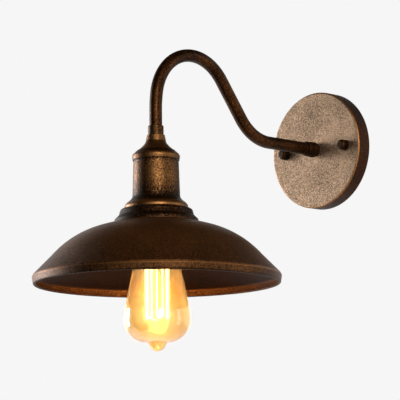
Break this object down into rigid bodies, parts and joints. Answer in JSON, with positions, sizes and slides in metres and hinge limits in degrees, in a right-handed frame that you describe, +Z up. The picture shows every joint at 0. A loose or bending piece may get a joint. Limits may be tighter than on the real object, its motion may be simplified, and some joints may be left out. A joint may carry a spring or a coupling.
{
  "type": "gooseneck wall sconce",
  "caption": "Wall lamp on a round plate: a bent tube arm carries a bell-shaped lamp cup, a shallow dome shade and a screw-in teardrop filament bulb.",
  "frame": {"origin": "centre of the wall plate's back rim, on the wall", "axes": "+Z up, +Y into the wall and -Y out into the room, +X to the right for someone looking at the wall"},
  "size_m": [0.24, 0.364, 0.3012],
  "materials": {
    "aged_bronze_paint": "satin dark brown with rubbed bronze speckle and edges",
    "zinc_plated_steel": "bright zinc plate",
    "brass": "plain stamped brass",
    "nickel_plated_brass": "thin nickel plate",
    "tinned_copper": "tinned",
    "black_phenolic": "moulded, satin",
    "steatite": "unglazed",
    "amber_glass": "clear amber",
    "clear_glass": "clear",
    "black_glass": "opaque, gloss",
    "solder": "domed solder",
    "nickel_wire": "drawn wire",
    "glowing_filament": "carbon filament, lit",
    "natural_nylon": "natural",
    "black_wire_sleeve": "satin PVC",
    "white_wire_sleeve": "satin PVC",
    "green_wire_sleeve": "satin PVC"
  },
  "bodies": {
    "fixed": {"wall_plate": "aged_bronze_paint", "fixing_strap": "zinc_plated_steel", "plate_studs": "zinc_plated_steel", "stud_lock_nuts": "zinc_plated_steel", "earth_screw": "brass", "earth_lug": "tinned_copper", "earth_lead": "green_wire_sleeve", "arm_collar": "aged_bronze_paint", "gooseneck_arm": "aged_bronze_paint", "arm_nipple": "zinc_plated_steel", "arm_washer": "zinc_plated_steel", "arm_locknut": "zinc_plated_steel", "lead_bushing": "natural_nylon", "arm_ferrule": "aged_bronze_paint", "lamp_cup": "aged_bronze_paint", "cup_nipple": "zinc_plated_steel", "cup_washer": "zinc_plated_steel", "cup_locknut": "zinc_plated_steel", "holder_locknut": "zinc_plated_steel", "holder_cap": "black_phenolic", "grub_screw": "zinc_plated_steel", "holder_shell": "black_phenolic", "terminal_insert": "steatite", "socket_screw_shell": "brass", "centre_contact": "brass", "neutral_rivet": "brass", "live_terminal": "brass", "neutral_terminal": "brass", "terminal_screws": "brass", "terminal_block": "natural_nylon", "block_tubes": "brass", "block_screws": "zinc_plated_steel", "live_lead": "black_wire_sleeve", "neutral_lead": "white_wire_sleeve"},
    "bulb_carrier": {"bulb_contact": "solder"},
    "bulb": {"bulb_glass": "amber_glass", "bulb_screw_shell": "nickel_plated_brass", "bulb_insulator": "black_glass", "bulb_stem": "clear_glass", "filament": "glowing_filament", "filament_hooks": "nickel_wire", "bulb_lead_ins": "nickel_wire"},
    "shade": {"shade": "aged_bronze_paint"},
    "shade_ring": {"shade_ring": "black_phenolic"},
    "left_washer": {"left_nut_washer": "aged_bronze_paint"},
    "left_nut": {"left_cap_nut": "aged_bronze_paint"},
    "right_washer": {"right_nut_washer": "aged_bronze_paint"},
    "right_nut": {"right_cap_nut": "aged_bronze_paint"}
  },
  "joints": [
    {"name": "bulb_drop", "type": "slide", "parent": "fixed", "child": "bulb_carrier", "axis": [0, 0, -1], "range_m": [0, 0.01633]},
    {"name": "bulb_turn", "type": "hinge", "parent": "bulb_carrier", "child": "bulb", "pos_m": [0, -0.244, -0.09], "axis": [0, 0, -1], "range_deg": [0, 1620]},
    {"name": "shade_drop", "type": "slide", "parent": "fixed", "child": "shade", "axis": [0, 0, -1], "range_m": [0, 0.016]},
    {"name": "ring_turn", "type": "hinge", "parent": "shade", "child": "shade_ring", "pos_m": [0, -0.244, -0.087], "axis": [0, 0, -1], "range_deg": [0, 2304]},
    {"name": "left_nut_slide", "type": "slide", "parent": "fixed", "child": "left_washer", "axis": [0, -1, 0], "range_m": [0, 0.0049]},
    {"name": "left_nut_turn", "type": "hinge", "parent": "left_washer", "child": "left_nut", "pos_m": [-0.041, -0.02, 0], "axis": [0, -1, 0], "range_deg": [0, 2520]},
    {"name": "right_nut_slide", "type": "slide", "parent": "fixed", "child": "right_washer", "axis": [0, -1, 0], "range_m": [0, 0.0049]},
    {"name": "right_nut_turn", "type": "hinge", "parent": "right_washer", "child": "right_nut", "pos_m": [0.041, -0.02, 0], "axis": [0, -1, 0], "range_deg": [0, 2520]}
  ],
  "couplings": [
    {"joint": "bulb_turn", "follows": "bulb_drop", "rad_per_m": 1731.4},
    {"joint": "ring_turn", "follows": "shade_drop", "rad_per_m": 2513.3},
    {"joint": "left_nut_turn", "follows": "left_nut_slide", "rad_per_m": 8976},
    {"joint": "right_nut_turn", "follows": "right_nut_slide", "rad_per_m": 8976}
  ]
}
